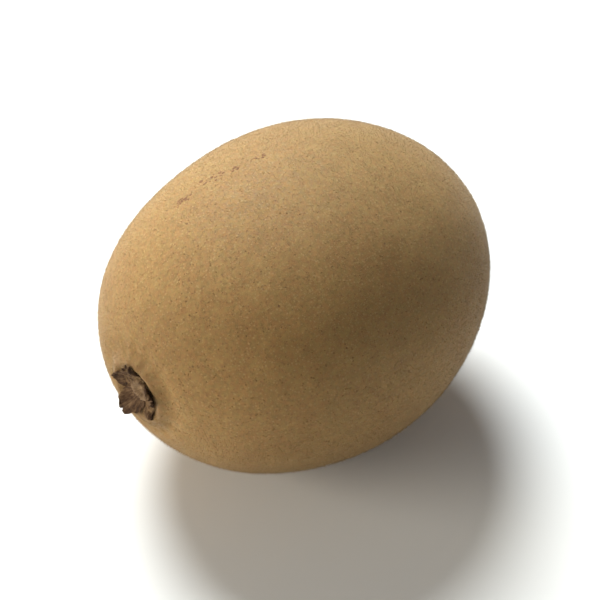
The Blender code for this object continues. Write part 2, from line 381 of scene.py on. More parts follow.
class NodeGraph:
    """A material's nodes, with short calls for the ones that the finishes are built from."""

    MIX_FACTOR = 0
    MIX_COLOURS = (6, 7)
    MIX_RESULT = 2
    CHOICE_EDGE = 0.08
    SIZE_SPREAD = 0.5

    def __init__(self, name: str) -> None:
        """Start a material whose Principled shader is ready to be wired.

        Args:
            name: The material's name.
        """
        self.material = bpy.data.materials.new(name)
        self.material.use_nodes = True
        self.tree = self.material.node_tree
        self.shader = self.tree.nodes["Principled BSDF"]
        self.place = self.add("ShaderNodeTexCoord").outputs["Object"]

    def add(self, kind: str, **settings: object) -> bpy.types.Node:
        """Add a node of this kind with these settings.

        Args:
            kind: Its type.
            **settings: Properties to set on it.

        Returns:
            The new node.
        """
        node = self.tree.nodes.new(kind)
        for key, value in settings.items():
            setattr(node, key, value)
        return node

    def feed(self, socket: bpy.types.NodeSocket, value: object) -> None:
        """Link a socket to an output, or set its value.

        Args:
            socket: The socket to feed.
            value: An output to link to it, or a value to set on it.
        """
        if isinstance(value, bpy.types.NodeSocket):
            self.tree.links.new(value, socket)
        else:
            socket.default_value = value

    def vector(self, operation: str, first: object, second: object = (0, 0, 0)) -> bpy.types.Node:
        """Combine two vectors.

        Args:
            operation: How they are combined.
            first: A vector or an output.
            second: A vector or an output.

        Returns:
            The node.
        """
        node = self.add("ShaderNodeVectorMath", operation=operation)
        self.feed(node.inputs[0], first)
        self.feed(node.inputs[1], second)
        return node

    def mapped(self, scale: Triple = (1, 1, 1), centre: Triple = (0, 0, 0)) -> bpy.types.NodeSocket:
        """Return the object's coordinates, counted from a centre and then stretched by a scale."""
        moved = self.vector("SUBTRACT", self.place, centre).outputs[0]
        return self.vector("MULTIPLY", moved, scale).outputs[0]

    def radiating(self, centre: Vector, girth: float, stretch: float) -> bpy.types.NodeSocket:
        """Return coordinates in which texture runs outwards from a centre at one end of the fruit.

        Args:
            centre: The middle from which the texture runs out.
            girth: Radius of the circle on which the directions are laid out.
            stretch: How far the texture is drawn out, as a share of its own size.

        Returns:
            The coordinates.
        """
        outwards = self.mapped((0, 1, 1), tuple(centre))
        heading = self.vector("NORMALIZE", outwards).outputs[0]
        circle = self.vector("MULTIPLY", heading, (girth,) * 3).outputs[0]
        length = self.vector("LENGTH", outwards).outputs["Value"]
        distance = self.add("ShaderNodeCombineXYZ")
        self.feed(distance.inputs["X"], self.math("MULTIPLY", length, stretch))
        return self.vector("ADD", circle, distance.outputs[0]).outputs[0]

    def noise(
        self,
        feature: float,
        detail: float = 3.0,
        roughness: float = 0.55,
        vector: bpy.types.NodeSocket | None = None,
        distortion: float = 0.0,
    ) -> bpy.types.NodeSocket:
        """Add noise.

        Args:
            feature: Length of its largest features.
            detail: Number of finer layers.
            roughness: Strength of each finer layer against the one before.
            vector: Coordinates to read, or None for the object's own.
            distortion: How far it is swirled.

        Returns:
            Its value, from 0 to 1.
        """
        node = self.add("ShaderNodeTexNoise")
        self.feed(node.inputs["Vector"], vector or self.place)
        node.inputs["Scale"].default_value = 1 / feature
        node.inputs["Detail"].default_value = detail
        node.inputs["Roughness"].default_value = roughness
        node.inputs["Distortion"].default_value = distortion
        return node.outputs["Fac"]

    def math(self, operation: str, first: object, second: object = 0.0) -> bpy.types.NodeSocket:
        """Combine two numbers or outputs.

        Args:
            operation: How they are combined.
            first: A number or an output.
            second: A number or an output.

        Returns:
            The result.
        """
        node = self.add("ShaderNodeMath", operation=operation)
        self.feed(node.inputs[0], first)
        self.feed(node.inputs[1], second)
        return node.outputs[0]

    def total(self, *parts: tuple[float, bpy.types.NodeSocket]) -> bpy.types.NodeSocket:
        """Add several values, each by its own weight.

        Args:
            *parts: Pairs of weight and value.

        Returns:
            Their sum.
        """
        result: object = 0.0
        for weight, value in parts:
            node = self.add("ShaderNodeMath", operation="MULTIPLY_ADD")
            for socket, given in zip(node.inputs, (value, weight, result)):
                self.feed(socket, given)
            result = node.outputs[0]
        return result

    def span(
        self,
        value: object,
        low: float,
        high: float,
        to_low: float = 0.0,
        to_high: float = 1.0,
    ) -> bpy.types.NodeSocket:
        """Stretch a value smoothly from one range to another, clamped at both ends.

        Args:
            value: The value or output to stretch.
            low: Where the range it comes from starts.
            high: Where that range ends.
            to_low: Where the range it goes to starts.
            to_high: Where that range ends.

        Returns:
            The stretched value.
        """
        node = self.add("ShaderNodeMapRange", interpolation_type="SMOOTHSTEP")
        self.feed(node.inputs["Value"], value)
        node.inputs["From Min"].default_value = low
        node.inputs["From Max"].default_value = high
        node.inputs["To Min"].default_value = to_low
        node.inputs["To Max"].default_value = to_high
        return node.outputs["Result"]

    def ramp(self, value: object, places: Iterable[float], colours: Iterable[Triple]) -> bpy.types.NodeSocket:
        """Turn a value into a colour through stops at these places.

        Args:
            value: The value, from 0 to 1.
            places: Where the stops are.
            colours: Their colours.

        Returns:
            The colour.
        """
        node = self.add("ShaderNodeValToRGB")
        stops = list(zip(places, colours))
        band = node.color_ramp.elements
        while len(band) < len(stops):
            band.new(1.0)
        for element, (at, colour) in zip(band, stops):
            element.position = at
            element.color = (*colour, 1.0)
        self.feed(node.inputs["Fac"], value)
        return node.outputs["Color"]

    def mix(self, share: object, under: object, over: object, how: Blend = Blend.MIX) -> bpy.types.NodeSocket:
        """Lay one colour over another.

        Args:
            share: How much of the upper colour shows.
            under: The lower colour.
            over: The upper colour.
            how: The way in which they are blended.

        Returns:
            The blended colour.
        """
        node = self.add("ShaderNodeMix", data_type="RGBA", blend_type=how.value)
        self.feed(node.inputs[self.MIX_FACTOR], share)
        for index, colour in zip(self.MIX_COLOURS, (under, over)):
            self.feed(node.inputs[index], (*colour, 1.0) if isinstance(colour, tuple) else colour)
        return node.outputs[self.MIX_RESULT]

    def spots(self, apart: float, size: float, edge: float, kept: float) -> bpy.types.NodeSocket:
        """Add round spots in a share of the cells of an even scatter.

        Args:
            apart: Distance between the cells.
            size: Radius of a spot as a share of that distance.
            edge: Width of its soft edge as a share of that distance.
            kept: Share of the cells that have a spot.

        Returns:
            A value that is 1 on a spot and 0 off it.
        """
        cells = self.add("ShaderNodeTexVoronoi")
        self.feed(cells.inputs["Vector"], self.place)
        cells.inputs["Scale"].default_value = 1 / apart
        chance = self.add("ShaderNodeSeparateColor")
        self.feed(chance.inputs[0], cells.outputs["Color"])
        chosen = self.span(chance.outputs["Red"], 1 - kept, 1 - kept + self.CHOICE_EDGE)
        smaller = self.math("MULTIPLY", chance.outputs["Green"], size * self.SIZE_SPREAD)
        reach = self.math("ADD", cells.outputs["Distance"], smaller)
        return self.math("MULTIPLY", self.span(reach, size, size + edge, 1.0, 0.0), chosen)

    def near(self, centre: Vector, reach: float) -> bpy.types.NodeSocket:
        """Add a value that fades with the distance from a place.

        Args:
            centre: Where it is 1.
            reach: The distance at which it is 0.

        Returns:
            The value.
        """
        ball = self.add("ShaderNodeTexGradient", gradient_type="SPHERICAL")
        self.feed(ball.inputs["Vector"], self.mapped((1 / reach,) * 3, tuple(centre)))
        return ball.outputs["Fac"]

    def bump(self, height: object, strength: float, depth: float) -> bpy.types.NodeSocket:
        """Add a bump.

        Args:
            height: The relief, from 0 to 1.
            strength: How much of it shows.
            depth: Its depth in metres.

        Returns:
            The normal.
        """
        node = self.add("ShaderNodeBump")
        self.feed(node.inputs["Height"], height)
        node.inputs["Strength"].default_value = strength
        node.inputs["Distance"].default_value = depth
        return node.outputs["Normal"]

    def dress(self, colour: object, roughness: object, specular: float, normal: object = None) -> None:
        """Wire a colour, roughness and normal into the shader, and set its reflection.

        Args:
            colour: A colour or an output.
            roughness: A number or an output.
            specular: The reflection.
            normal: A bump's normal, or None.
        """
        self.feed(self.shader.inputs["Base Color"], (*colour, 1.0) if isinstance(colour, tuple) else colour)
        self.feed(self.shader.inputs["Roughness"], roughness)
        self.shader.inputs["Specular IOR Level"].default_value = specular
        if normal is not None:
            self.feed(self.shader.inputs["Normal"], normal)

    def sheen(self, weight: float, roughness: float, tint: Triple) -> None:
        """Set the soft light that a downy surface sends back at a grazing angle.

        Args:
            weight: Its strength.
            roughness: How far it spreads.
            tint: Its colour.
        """
        self.shader.inputs["Sheen Weight"].default_value = weight
        self.shader.inputs["Sheen Roughness"].default_value = roughness
        self.shader.inputs["Sheen Tint"].default_value = (*tint, 1.0)


@dataclass(frozen=True)
class SpotField:
    """One kind of painted spot: its spacing, its size and edge as shares of that, and how many and strong."""

    apart: float
    size: float
    edge: float
    kept: float
    strength: float
    colour: Triple


@dataclass(frozen=True)
class SkinFinish:
    """The bronze skin: even tan, finely stippled, with pale and reddish specks, browner round both ends."""

    name: str = "bronze_skin"
    shade: Triple = (0.211, 0.122, 0.038)
    body: Triple = (0.243, 0.148, 0.047)
    light: Triple = (0.285, 0.178, 0.057)
    olive: Triple = (0.224, 0.146, 0.050)
    rust: Triple = (0.290, 0.126, 0.044)
    end_brown: Triple = (0.084, 0.040, 0.016)
    tone_stops: Triple = (0.38, 0.5, 0.62)
    tone_shares: Triple = (0.35, 0.4, 0.25)
    broad_size: float = 19 * MM
    patch_size: float = 3.4 * MM
    streak_size: float = 1.0 * MM
    streak_stretch: Triple = (0.25, 1, 1)
    olive_share: float = 0.3
    rust_size: float = 0.8 * MM
    rust_share: float = 0.4
    grain_size: float = 0.55 * MM
    grain_greys: tuple[float, float] = (0.35, 0.65)
    grain_share: float = 0.48
    fine_size: float = 0.2 * MM
    noise_range: tuple[float, float] = (0.32, 0.68)
    specks: tuple[SpotField, ...] = (
        SpotField(0.48 * MM, 0.24, 0.2, 0.65, 0.34, (0.42, 0.285, 0.130)),
        SpotField(0.62 * MM, 0.17, 0.17, 0.50, 0.48, (0.140, 0.055, 0.022)),
        SpotField(4.8 * MM, 0.036, 0.025, 0.6, 0.7, (0.090, 0.036, 0.014)),
    )
    browned: tuple[tuple[End, float, float], ...] = ((End.STEM, 9.5 * MM, 0.8), (End.STYLE, 8 * MM, 0.8))
    browned_edge: tuple[float, float] = (0.08, 0.8)
    browned_wander: float = 0.5
    roughness: tuple[float, float] = (0.66, 0.82)
    specular: float = 0.3
    relief_shares: Triple = (0.5, 0.25, 0.25)
    relief_strength: float = 0.55
    relief_depth: float = 0.12 * MM
    sheen_weight: float = 0.07
    sheen_roughness: float = 0.5
    sheen_tint: Triple = (1.0, 0.9, 0.74)

    def material(self, form: FruitForm) -> bpy.types.Material:
        """Build the skin's material.

        Args:
            form: The fruit's form, which says where its ends are.

        Returns:
            The finished material.
        """
        graph = NodeGraph(self.name)
        broad = graph.noise(self.broad_size)
        patch = graph.noise(self.patch_size, detail=4, roughness=0.6)
        streak = graph.noise(self.streak_size, detail=4, vector=graph.mapped(self.streak_stretch))
        grain = graph.noise(self.grain_size, detail=4, roughness=0.65)
        fine = graph.noise(self.fine_size)

        tone = graph.total(*zip(self.tone_shares, (broad, patch, streak)))
        colour = graph.ramp(tone, self.tone_stops, (self.shade, self.body, self.light))
        colour = graph.mix(graph.span(broad, *self.noise_range, 0.0, self.olive_share), colour, self.olive)
        rust = graph.noise(self.rust_size, detail=2)
        colour = graph.mix(graph.span(rust, *self.noise_range, 0.0, self.rust_share), colour, self.rust)
        stipple = graph.ramp(grain, self.noise_range, [(grey,) * 3 for grey in self.grain_greys])
        colour = graph.mix(self.grain_share, colour, stipple, Blend.OVERLAY)
        for field in self.specks:
            spots = graph.spots(field.apart, field.size, field.edge, field.kept)
            colour = graph.mix(graph.math("MULTIPLY", spots, field.strength), colour, field.colour)
        for end, reach, strength in self.browned:
            edge = graph.total((1.0, graph.near(form.pole(end), reach)), (self.browned_wander, patch))
            low, high = (value + self.browned_wander / 2 for value in self.browned_edge)
            colour = graph.mix(graph.span(edge, low, high, 0.0, strength), colour, self.end_brown)

        relief = graph.total(*zip(self.relief_shares, (grain, fine, streak)))
        normal = graph.bump(relief, self.relief_strength, self.relief_depth)
        graph.dress(colour, graph.span(grain, *self.noise_range, *self.roughness), self.specular, normal)
        graph.sheen(self.sheen_weight, self.sheen_roughness, self.sheen_tint)
        return graph.material


@dataclass(frozen=True)
class DriedFinish:
    """Dry brown plant tissue with lighter fibres, which may run outwards from one end of the fruit."""

    name: str
    dark: Triple = (0.020, 0.009, 0.005)
    body: Triple = (0.076, 0.039, 0.019)
    light: Triple = (0.250, 0.154, 0.082)
    tone_stops: Triple = (0.38, 0.5, 0.68)
    centre: Vector | None = None
    girth: float = 4.0 * MM
    stretch: float = 0.22
    fibre_size: float = 0.38 * MM
    patch_size: float = 1.5 * MM
    crumb_size: float = 0.13 * MM
    tone_shares: tuple[float, float] = (0.6, 0.4)
    crumb_range: tuple[float, float] = (0.56, 0.72)
    crumb_share: float = 0.4
    roughness: tuple[float, float] = (0.75, 0.95)
    noise_range: tuple[float, float] = (0.3, 0.7)
    specular: float = 0.22
    relief_shares: tuple[float, float] = (1.0, 0.4)
    relief_strength: float = 0.9
    relief_depth: float = 0.14 * MM

    def material(self) -> bpy.types.Material:
        """Build the dried tissue's material.

        Returns:
            The finished material.
        """
        graph = NodeGraph(self.name)
        grain = graph.radiating(self.centre, self.girth, self.stretch) if self.centre else None
        fibres = graph.noise(self.fibre_size, detail=5, roughness=0.65, vector=grain)
        patch = graph.noise(self.patch_size, detail=4, roughness=0.6)
        crumbs = graph.noise(self.crumb_size)
        tone = graph.total(*zip(self.tone_shares, (fibres, patch)))
        colour = graph.ramp(tone, self.tone_stops, (self.dark, self.body, self.light))
        colour = graph.mix(graph.span(crumbs, *self.crumb_range, 0.0, self.crumb_share), colour, self.light)
        relief = graph.total(*zip(self.relief_shares, (fibres, crumbs)))
        normal = graph.bump(relief, self.relief_strength, self.relief_depth)
        graph.dress(colour, graph.span(fibres, *self.noise_range, *self.roughness), self.specular, normal)
        return graph.material


@dataclass(frozen=True)
class DownFinish:
    """The short down: pale straw to brown, tuft by tuft."""

    name: str = "straw_down"
    dark: Triple = (0.230, 0.138, 0.053)
    light: Triple = (0.410, 0.280, 0.132)
    tone_stops: tuple[float, float] = (0.36, 0.64)
    tuft_size: float = 0.5 * MM
    broad_size: float = 9 * MM
    tone_shares: tuple[float, float] = (0.7, 0.3)
    roughness: float = 0.6
    specular: float = 0.3

    def material(self) -> bpy.types.Material:
        """Build the down's material.

        Returns:
            The finished material.
        """
        graph = NodeGraph(self.name)
        noises = (graph.noise(self.tuft_size), graph.noise(self.broad_size))
        tone = graph.total(*zip(self.tone_shares, noises))
        colour = graph.ramp(tone, self.tone_stops, (self.dark, self.light))
        graph.dress(colour, self.roughness, self.specular)
        return graph.material


@dataclass(frozen=True)
class FloorFinish:
    """The plain pale surface that the fruit lies on."""

    name: str = "pale_floor"
    colour: Triple = (0.80, 0.795, 0.785)
    roughness: float = 0.9
    specular: float = 0.2

    def material(self) -> bpy.types.Material:
        """Build the floor's material.

        Returns:
            The finished material.
        """
        graph = NodeGraph(self.name)
        graph.dress(self.colour, self.roughness, self.specular)
        return graph.material


@dataclass(frozen=True)
class BackdropFinish:
    """The pale backdrop, which glows faintly so that it looks the same from all sides."""

    name: str = "pale_backdrop"
    base: Triple = (0.0, 0.0, 0.0)
    colour: Triple = (0.80, 0.795, 0.785)
    glow: float = 0.9
    roughness: float = 0.9
    specular: float = 0.0

    def material(self) -> bpy.types.Material:
        """Build the backdrop's material.

        Returns:
            The finished material.
        """
        graph = NodeGraph(self.name)
        graph.dress(self.base, self.roughness, self.specular)
        graph.shader.inputs["Emission Color"].default_value = (*self.colour, 1.0)
        graph.shader.inputs["Emission Strength"].default_value = self.glow
        return graph.material


@dataclass
class Skin:
    """The fruit's skin as one fine closed surface with its flat spot."""

    form: FruitForm
    rows: int = 250
    steps: int = 300
    crowding: float = 0.6
    undulations: tuple[tuple[float, float], ...] = ((7.5 * MM, 0.1 * MM), (2.6 * MM, 0.035 * MM))

    def outline(self) -> list[tuple[float, float]]:
        """Follow the outline from pole to pole, with more rows near both ends.

        Returns:
            Pairs of radius and height.
        """
        points = []
        for row in range(self.rows + 1):
            share = row / self.rows
            crowded = share - self.crowding * math.sin(FULL_TURN * share) / FULL_TURN
            points.append(self.form.outline(math.pi * crowded))
        points[0] = (0.0, points[0][1])
        points[-1] = (0.0, points[-1][1])
        return points

    def relief(self, at: Vector) -> float:
        """Return how far the skin stands out at a place, from its low undulations."""
        return sum(height * noise.noise(at / size) for size, height in self.undulations)

    def build(self) -> bmesh.types.BMesh:
        """Spin the outline, grow it, lay it down, raise its relief and cut its flat spot.

        Returns:
            The closed shape.
        """
        shape = spun(self.outline(), self.steps)
        self.form.place(shape)
        shape.normal_update()
        for vertex in shape.verts:
            vertex.co += vertex.normal * self.relief(vertex.co)
        everything = list(shape.verts) + list(shape.edges) + list(shape.faces)
        cut = bmesh.ops.bisect_plane(
            shape, geom=everything, dist=SAME_POINT, plane_co=(0, 0, 0), plane_no=(0, 0, 1), clear_inner=True
        )
        rim = [item for item in cut["geom_cut"] if isinstance(item, bmesh.types.BMEdge)]
        bmesh.ops.edgeloop_fill(shape, edges=rim)
        return settled(shape)


@dataclass
class Surface:
    """The finished skin as a ground to set small things on."""

    FLOOR_GAP = 0.4 * MM

    faces: list[tuple[Vector, Vector, Vector, Vector]]
    totals: list[float]
    tree: BVHTree

    @classmethod
    def of(cls, skin: bpy.types.Object) -> "Surface":
        """Read the faces of the skin, without its flat spot.

        Args:
            skin: The skin's object.

        Returns:
            The surface to find places on.
        """
        mesh = skin.data
        mesh.calc_loop_triangles()
        faces = []
        totals = []
        total = 0.0
        for triangle in mesh.loop_triangles:
            corners = [mesh.vertices[index].co for index in triangle.vertices]
            if max(corner.z for corner in corners) < cls.FLOOR_GAP:
                continue
            total += triangle.area
            faces.append((*corners, triangle.normal))
            totals.append(total)
        places = [vertex.co for vertex in mesh.vertices]
        tree = BVHTree.FromPolygons(places, [tuple(triangle.vertices) for triangle in mesh.loop_triangles])
        return cls(faces, totals, tree)

    def draw(self, dice: random.Random) -> tuple[Vector, Vector]:
        """Draw a place at random, evenly over the area.

        Args:
            dice: The seeded source of chance.

        Returns:
            The place and the skin's normal there.
        """
        index = bisect.bisect_left(self.totals, dice.random() * self.totals[-1])
        first, second, third, normal = self.faces[min(index, len(self.faces) - 1)]
        across = math.sqrt(dice.random())
        along = dice.random()
        place = first * (1 - across) + second * (across * (1 - along)) + third * (across * along)
        return place, normal

    def nearest(self, point: Vector) -> tuple[Vector, Vector]:
        """Return the place on the skin that is nearest to a point, and the skin's normal there."""
        place, normal, _, _ = self.tree.find_nearest(point)
        return place, normal


@dataclass
class StalkScar:
    """The woody stub where the stalk broke off, with its pith sunk in the middle."""

    form: FruitForm
    radius: float = 2.1 * MM
    rise: float = 0.9 * MM
    root: float = 1.4 * MM
    root_narrowing: float = 0.12
    pith_radius: float = 0.95 * MM
    pith_edge: float = 0.22 * MM
    pith_depth: float = 0.55 * MM
    shoulder_start: float = 0.8
    shoulder_drop: float = 0.4 * MM
    rows_across: int = 12
    rows_down: int = 6
    steps: int = 72
    rays: int = 26
    ray_wander: float = 2.0
    corners: int = 3
    ray_height: float = 0.07 * MM
    chip_size: float = 0.55 * MM
    chip_height: float = 0.14 * MM
    waves: Triple = (0.06, 0.025, 0.05)

    def outline(self) -> list[tuple[float, float]]:
        """Follow the stub from the middle of the pith over the rim and down the side.

        Returns:
            Pairs of radius and height.
        """
        floor = self.form.outline(0.0)[1]
        points = []
        for row in range(self.rows_across + 1):
            share = row / self.rows_across
            bowl = self.form.plateau(self.radius * share, self.pith_radius, self.pith_edge)
            shoulder = max(share - self.shoulder_start, 0.0) / (1 - self.shoulder_start)
            lift = self.rise - self.pith_depth * bowl - self.shoulder_drop * shoulder**2
            points.append((self.radius * share, floor + lift))
        rim = self.rise - self.shoulder_drop
        for row in range(1, self.rows_down + 1):
            share = row / self.rows_down
            height = floor + rim * (1 - share) - self.root * share
            points.append((self.radius * (1 - self.root_narrowing * share), height))
        points.append((0.0, floor - self.root))
        return points

    def build(self) -> bmesh.types.BMesh:
        """Spin the stub and roughen it with wood rays and chips.

        Returns:
            The closed shape on the laid fruit.
        """
        shape = spun(self.outline(), self.steps)
        slow, fast, rough = self.waves
        for vertex in shape.verts:
            point = vertex.co.copy()
            turn = math.atan2(point.y, point.x)
            share = min(math.hypot(point.x, point.y) / self.radius, 1.0)
            ray = math.cos(self.rays * turn + self.ray_wander * math.sin(self.corners * turn)) * share**2
            chip = noise.noise(point / self.chip_size)
            wave = 1 + slow * math.cos(self.corners * turn) + fast * ray + rough * chip * share
            lift = self.ray_height * ray + self.chip_height * chip
            vertex.co = (point.x * wave, point.y * wave, point.z + lift)
        self.form.place(shape)
        return settled(shape)


@dataclass(frozen=True)
class Sepal:
    """One dried sepal: where it points in degrees, how long and wide it is, and how far its tip lifts."""

    facing: float
    length: float
    half_width: float
    lift: float


@dataclass
class Calyx:
    """The five dried sepals, thin, crumpled and frayed, that lie over the ring round the stalk scar."""

    form: FruitForm
    sepals: tuple[Sepal, ...] = (
        Sepal(12, 3.9 * MM, 2.5 * MM, 0.25 * MM),
        Sepal(86, 3.5 * MM, 2.4 * MM, -0.35 * MM),
        Sepal(157, 4.2 * MM, 2.5 * MM, 0.4 * MM),
        Sepal(231, 3.4 * MM, 2.3 * MM, -0.3 * MM),
        Sepal(302, 4.0 * MM, 2.5 * MM, 0.3 * MM),
    )
    start: float = 1.7 * MM
    wall: float = 0.22 * MM
    raised: float = 0.3 * MM
    root_sink: float = 0.8 * MM
    stack: float = 0.09 * MM
    root_breadth: float = 0.66
    belly: float = 1.35
    taper: float = 0.55
    taper_power: int = 3
    point: float = 0.1
    lift_power: float = 1.6
    edge_curl: float = 0.35 * MM
    fray: float = 0.3
    fray_waves: float = 8.0
    tear: float = 0.22
    tear_waves: float = 5.0
    tear_power: int = 4
    stack_step: int = 2
    rib_height: float = 0.18 * MM
    rib_width: float = 0.16
    vein_height: float = 0.07 * MM
    vein_waves: float = 19.0
    vein_spread: float = 2.5
    crumples: tuple[tuple[float, float], ...] = ((4.5, 0.42 * MM), (11.0, 0.16 * MM))
    rows: int = 44
    columns: int = 34

    def sheet(self, index: int, sepal: Sepal) -> bmesh.types.BMesh:
        """Shape one sepal as an open sheet on the upright fruit.

        Args:
            index: Its number in the calyx, which sets how it is stacked and crumpled.
            sepal: Its sizes.

        Returns:
            The sheet.
        """
        shape = bmesh.new()
        bmesh.ops.create_grid(shape, x_segments=self.rows, y_segments=self.columns, size=0.5)
        for vertex in shape.verts:
            share = vertex.co.x + 0.5
            across = vertex.co.y * 2
            side = index if across > 0 else index + len(self.sepals)
            frayed = 1 + self.fray * share * noise.noise(Vector((share * self.fray_waves, side, HALFWAY)))
            belly = self.root_breadth + self.belly * share * (1 - share)
            sideways = across * sepal.half_width * belly * (1 - self.taper * share**self.taper_power) * frayed
            rip = noise.noise(Vector((across * self.tear_waves, index + HALFWAY, HALFWAY)))
            torn = self.tear * rip * share**self.tear_power
            reach = self.start + sepal.length * share * (1 - self.point * across**2 + torn)
            radius = math.hypot(reach, sideways)
            rise = self.stack * (index * self.stack_step % len(self.sepals)) - self.root_sink + self.raised
            lifted = (sepal.lift + self.root_sink) * share**self.lift_power
            rise += lifted + self.edge_curl * across**2 * share
            rise += self.rib_height * self.form.bump(across, self.rib_width) * (1 - share)
            vein = math.cos(across * (self.vein_waves - self.vein_spread * share))
            rise += self.vein_height * vein * share
            for waves, height in self.crumples:
                crumple = noise.noise(Vector((share * waves, across * waves / 2, index + HALFWAY)))
                rise += height * share * crumple
            turn = math.radians(sepal.facing) + math.atan2(sideways, reach)
            level = self.form.stem_height(radius) + rise
            vertex.co = (radius * math.cos(turn), radius * math.sin(turn), level)
        return shape

    def walled(self, index: int, sepal: Sepal) -> bmesh.types.BMesh:
        """Give one sepal's sheet its wall, which closes it.

        Args:
            index: Its number in the calyx.
            sepal: Its sizes.

        Returns:
            The closed sepal on the upright fruit.
        """
        shape = self.sheet(index, sepal)
        sheet = bmesh.ops.extrude_face_region(shape, geom=shape.faces[:])
        upper = [item for item in sheet["geom"] if isinstance(item, bmesh.types.BMVert)]
        bmesh.ops.translate(shape, verts=upper, vec=(0, 0, self.wall))
        return shape

    def build(self) -> bmesh.types.BMesh:
        """Gather all the sepals on the laid fruit.

        Returns:
            The shape of all the sepals.
        """
        shape = gathered(self.walled(index, sepal) for index, sepal in enumerate(self.sepals))
        self.form.place(shape)
        return settled(shape)


@dataclass
class StyleTuft:
    """The low dark button at the style end and the dried styles that fan out of it."""

    form: FruitForm
    button_radius: float = 2.35 * MM
    button_rise: float = 0.5 * MM
    button_root: float = 1.2 * MM
    button_narrowing: float = 0.1
    button_rows: int = 10
    steps: int = 64
    crumbles: tuple[tuple[float, float], ...] = ((0.7 * MM, 0.22 * MM), (0.3 * MM, 0.11 * MM))
    count: int = 34
    lengths: tuple[float, float] = (1.0 * MM, 2.2 * MM)
    root_radius: float = 0.17 * MM
    tip_radius: float = 0.045 * MM
    field: float = 0.82
    leans: tuple[float, float] = (math.radians(8), math.radians(74))
    sway: float = math.radians(9)
    curls: tuple[float, float] = (-0.05, 0.17)
    wobble: float = 0.08
    sides: int = 6
    joints: int = 7
    seed: int = 11

    def seat(self) -> float:
        """Return the height of the style pole on the upright fruit."""
        return self.form.outline(math.pi)[1]

    def button(self) -> bmesh.types.BMesh:
        """Spin the button and crumble its face.

        Returns:
            The closed button on the upright fruit.
        """
        seat = self.seat()
        back = seat + self.button_root
        outline = [(0.0, back), (self.button_radius * (1 - self.button_narrowing), back)]
        for row in range(self.button_rows + 1):
            share = 1 - row / self.button_rows
            outline.append((self.button_radius * share, seat - self.button_rise * math.sqrt(1 - share**2)))
        shape = spun(outline, self.steps)
        for vertex in shape.verts:
            vertex.co.z -= sum(height * noise.noise(vertex.co / size) for size, height in self.crumbles)
        return shape

    def strand(self, index: int, dice: random.Random) -> bmesh.types.BMesh:
        """Grow one style as a tapering tube that curls as it goes.

        Args:
            index: Its number in the spiral of styles.
            dice: The seeded source of chance.

        Returns:
            The closed strand on the upright fruit.
        """
        share = (index + 0.5) / self.count
        turn = index * GOLDEN_ANGLE + dice.uniform(-self.sway, self.sway)
        lean = self.leans[0] + (self.leans[1] - self.leans[0]) * share + dice.uniform(-self.sway, self.sway)
        step = dice.uniform(*self.lengths) / self.joints
        curl = dice.uniform(*self.curls)
        shrink = (self.tip_radius / self.root_radius) ** (1 / self.joints)
        shape = bmesh.new()
        root = bmesh.ops.create_circle(shape, cap_ends=True, segments=self.sides, radius=self.root_radius)
        ring = root["verts"]
        bmesh.ops.rotate(shape, verts=ring, cent=(0, 0, 0), matrix=Matrix.Rotation(math.pi - lean, 3, "Y"))
        face = shape.faces[:]
        heading = Vector((math.sin(lean), 0, -math.cos(lean)))
        middle = Vector((0, 0, 0))
        for _ in range(self.joints):
            grown = bmesh.ops.extrude_face_region(shape, geom=face)["geom"]
            ring = [item for item in grown if isinstance(item, bmesh.types.BMVert)]
            face = [item for item in grown if isinstance(item, bmesh.types.BMFace)]
            nod = Matrix.Rotation(dice.uniform(-self.wobble, self.wobble), 3, "X")
            bend = Matrix.Rotation(-curl, 3, "Y") @ nod
            heading = bend @ heading
            bmesh.ops.translate(shape, verts=ring, vec=heading * step)
            middle += heading * step
            bmesh.ops.rotate(shape, verts=ring, cent=middle, matrix=bend)
            bmesh.ops.scale(shape, verts=ring, vec=(shrink,) * 3, space=Matrix.Translation(-middle))
        reach = self.button_radius * self.field * math.sqrt(share)
        on_button = Matrix.Rotation(turn, 4, "Z") @ Matrix.Translation((reach, 0, self.seat()))
        bmesh.ops.transform(shape, verts=shape.verts, matrix=on_button)
        bmesh.ops.recalc_face_normals(shape, faces=shape.faces)
        return shape

    def build(self) -> bmesh.types.BMesh:
        """Gather the button and all its strands on the laid fruit.

        Returns:
            The shape of the whole tuft.
        """
        dice = random.Random(self.seed)
        shape = gathered([self.button()] + [self.strand(index, dice) for index in range(self.count)])
        self.form.place(shape)
        return settled(shape)


